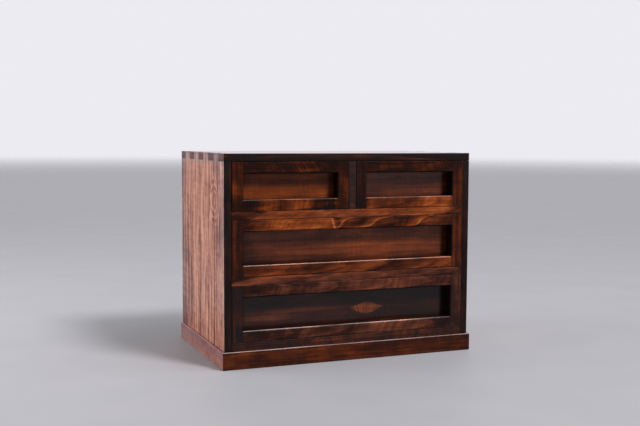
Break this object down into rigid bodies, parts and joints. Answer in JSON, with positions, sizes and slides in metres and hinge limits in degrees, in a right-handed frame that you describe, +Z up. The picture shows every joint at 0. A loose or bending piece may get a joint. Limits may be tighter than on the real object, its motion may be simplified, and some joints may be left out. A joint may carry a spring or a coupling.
{
  "type": "tansu chest",
  "caption": "Low lacquered tansu chest on a shallow plinth, with finger-jointed corners and deep framed drawer fronts whose drawers slide out on shelves.",
  "frame": {"origin": "on the floor, below the middle of the whole chest's box", "axes": "+X to the right of someone facing the drawers, +Y from the drawer fronts to the back, +Z up; the drawers open towards -Y"},
  "size_m": [0.711, 0.4436, 0.5473],
  "materials": {
    "carcass_lacquer": "near-black brown lacquer, glossy",
    "side_lacquer": "red-brown lacquer over upright grain, glossy",
    "figured_lacquer": "orange-brown lacquer over curly figured grain, glossy",
    "frame_lacquer": "dark red-brown lacquer, glossy",
    "panel_lacquer": "dark brown lacquer, high gloss",
    "plinth_lacquer": "dark red-brown lacquer, satin",
    "paulownia": "bare planed wood"
  },
  "bodies": {
    "carcass": {"top_board": "carcass_lacquer", "left_side": "side_lacquer", "right_side": "side_lacquer", "bottom_board": "carcass_lacquer", "lower_front_rail": "figured_lacquer", "upper_front_rail": "figured_lacquer", "lower_shelf": "paulownia", "upper_shelf": "paulownia", "centre_post": "carcass_lacquer", "centre_partition": "paulownia", "lower_back_board": "paulownia", "middle_back_board": "paulownia", "upper_back_board": "paulownia", "plinth_front": "plinth_lacquer", "plinth_left": "plinth_lacquer", "plinth_right": "plinth_lacquer", "plinth_back": "plinth_lacquer", "plinth_block_front_left": "paulownia", "plinth_block_front_right": "paulownia", "plinth_block_back_left": "paulownia", "plinth_block_back_right": "paulownia"},
    "upper_left_drawer": {"upper_left_drawer_left_stile": "frame_lacquer", "upper_left_drawer_right_stile": "frame_lacquer", "upper_left_drawer_top_rail": "figured_lacquer", "upper_left_drawer_bottom_rail": "figured_lacquer", "upper_left_drawer_panel": "panel_lacquer", "upper_left_drawer_left_wall": "paulownia", "upper_left_drawer_right_wall": "paulownia", "upper_left_drawer_back": "paulownia", "upper_left_drawer_floor": "paulownia"},
    "upper_right_drawer": {"upper_right_drawer_left_stile": "frame_lacquer", "upper_right_drawer_right_stile": "frame_lacquer", "upper_right_drawer_top_rail": "figured_lacquer", "upper_right_drawer_bottom_rail": "figured_lacquer", "upper_right_drawer_panel": "panel_lacquer", "upper_right_drawer_left_wall": "paulownia", "upper_right_drawer_right_wall": "paulownia", "upper_right_drawer_back": "paulownia", "upper_right_drawer_floor": "paulownia"},
    "middle_drawer": {"middle_drawer_left_stile": "frame_lacquer", "middle_drawer_right_stile": "frame_lacquer", "middle_drawer_top_rail": "figured_lacquer", "middle_drawer_bottom_rail": "figured_lacquer", "middle_drawer_panel": "panel_lacquer", "middle_drawer_left_wall": "paulownia", "middle_drawer_right_wall": "paulownia", "middle_drawer_back": "paulownia", "middle_drawer_floor": "paulownia"},
    "lower_drawer": {"lower_drawer_left_stile": "frame_lacquer", "lower_drawer_right_stile": "frame_lacquer", "lower_drawer_top_rail": "figured_lacquer", "lower_drawer_bottom_rail": "figured_lacquer", "lower_drawer_panel": "panel_lacquer", "lower_drawer_left_wall": "paulownia", "lower_drawer_right_wall": "paulownia", "lower_drawer_back": "paulownia", "lower_drawer_floor": "paulownia"}
  },
  "joints": [
    {"name": "upper_left_drawer_slide", "type": "slide", "parent": "carcass", "child": "upper_left_drawer", "axis": [0, -1, 0], "range_m": [0, 0.33]},
    {"name": "upper_right_drawer_slide", "type": "slide", "parent": "carcass", "child": "upper_right_drawer", "axis": [0, -1, 0], "range_m": [0, 0.33]},
    {"name": "middle_drawer_slide", "type": "slide", "parent": "carcass", "child": "middle_drawer", "axis": [0, -1, 0], "range_m": [0, 0.33]},
    {"name": "lower_drawer_slide", "type": "slide", "parent": "carcass", "child": "lower_drawer", "axis": [0, -1, 0], "range_m": [0, 0.33]}
  ]
}
